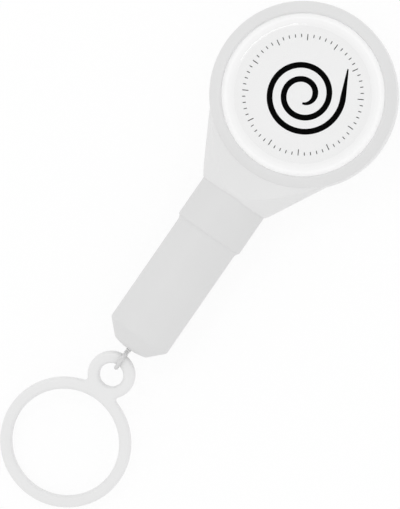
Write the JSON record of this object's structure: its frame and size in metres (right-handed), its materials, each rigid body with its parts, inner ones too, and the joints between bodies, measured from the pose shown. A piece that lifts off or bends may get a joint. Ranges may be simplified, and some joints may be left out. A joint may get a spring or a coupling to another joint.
{
  "type": "brow thread marking reel",
  "caption": "Hand-held reel for inked brow-marking thread: spring-return spool in a round case, tapered shoulder, round barrel with an ink felt, and a finger ring on the thread's end.",
  "frame": {"origin": "on the reel axis, in the plane of the flat rear face that the tool lies on", "axes": "+Z out of the label, +Y from the pull ring along the barrel towards the case, +X to the right seen from the front"},
  "size_m": [0.0356, 0.1105, 0.0166],
  "materials": {
    "case_white": "satin moulded ABS",
    "barrel_white": "satin moulded polypropylene",
    "ring_white": "satin moulded nylon",
    "label_film": "printed film",
    "label_resin": "clear poured resin",
    "acetal": "natural acetal",
    "screw_steel": "zinc-plated",
    "spring_steel": "rolled strip",
    "thread": "twisted polyester thread",
    "ink_felt": "felt soaked in dark ink",
    "silicone": "soft moulded silicone"
  },
  "bodies": {
    "handle": {"rear_shell": "case_white", "front_shell": "case_white", "case_screw_left": "screw_steel", "case_screw_right": "screw_steel", "label_disc": "label_film", "label_dome": "label_resin", "reel_arbor": "acetal", "neck_collar": "barrel_white", "thread_guide": "acetal", "barrel": "barrel_white", "felt_plug": "acetal", "ink_felt": "ink_felt", "nose_wiper": "silicone", "thread_feed": "thread"},
    "reel": {"spool": "acetal", "spring_cover": "acetal", "power_spring": "spring_steel", "thread_winding": "thread"},
    "line": {"thread_end": "thread"},
    "loop": {"thread_loop": "thread"},
    "ring": {"pull_ring": "ring_white"}
  },
  "joints": [
    {"name": "ring_pull", "type": "slide", "parent": "handle", "child": "line", "axis": [0, -1, 0], "range_m": [0, 0.31415], "stiffness_N_per_m": 1.5, "springref_m": -0.4, "deforming": ["thread_end"]},
    {"name": "reel_spin", "type": "hinge", "parent": "handle", "child": "reel", "pos_m": [0, 0, 0.0075], "axis": [0, 0, -1], "range_deg": [0, 1800], "deforming": ["power_spring", "thread_winding"]},
    {"name": "ring_twist", "type": "hinge", "parent": "line", "child": "loop", "pos_m": [0, -0.06112, 0.0075], "axis": [0, 1, 0], "range_deg": [-180, 180]},
    {"name": "ring_flip", "type": "hinge", "parent": "loop", "child": "ring", "pos_m": [0, -0.06112, 0.0075], "axis": [1, 0, 0], "range_deg": [-96.4, 73.5]}
  ],
  "couplings": [
    {"joint": "reel_spin", "follows": "ring_pull", "rad_per_m": 100}
  ]
}
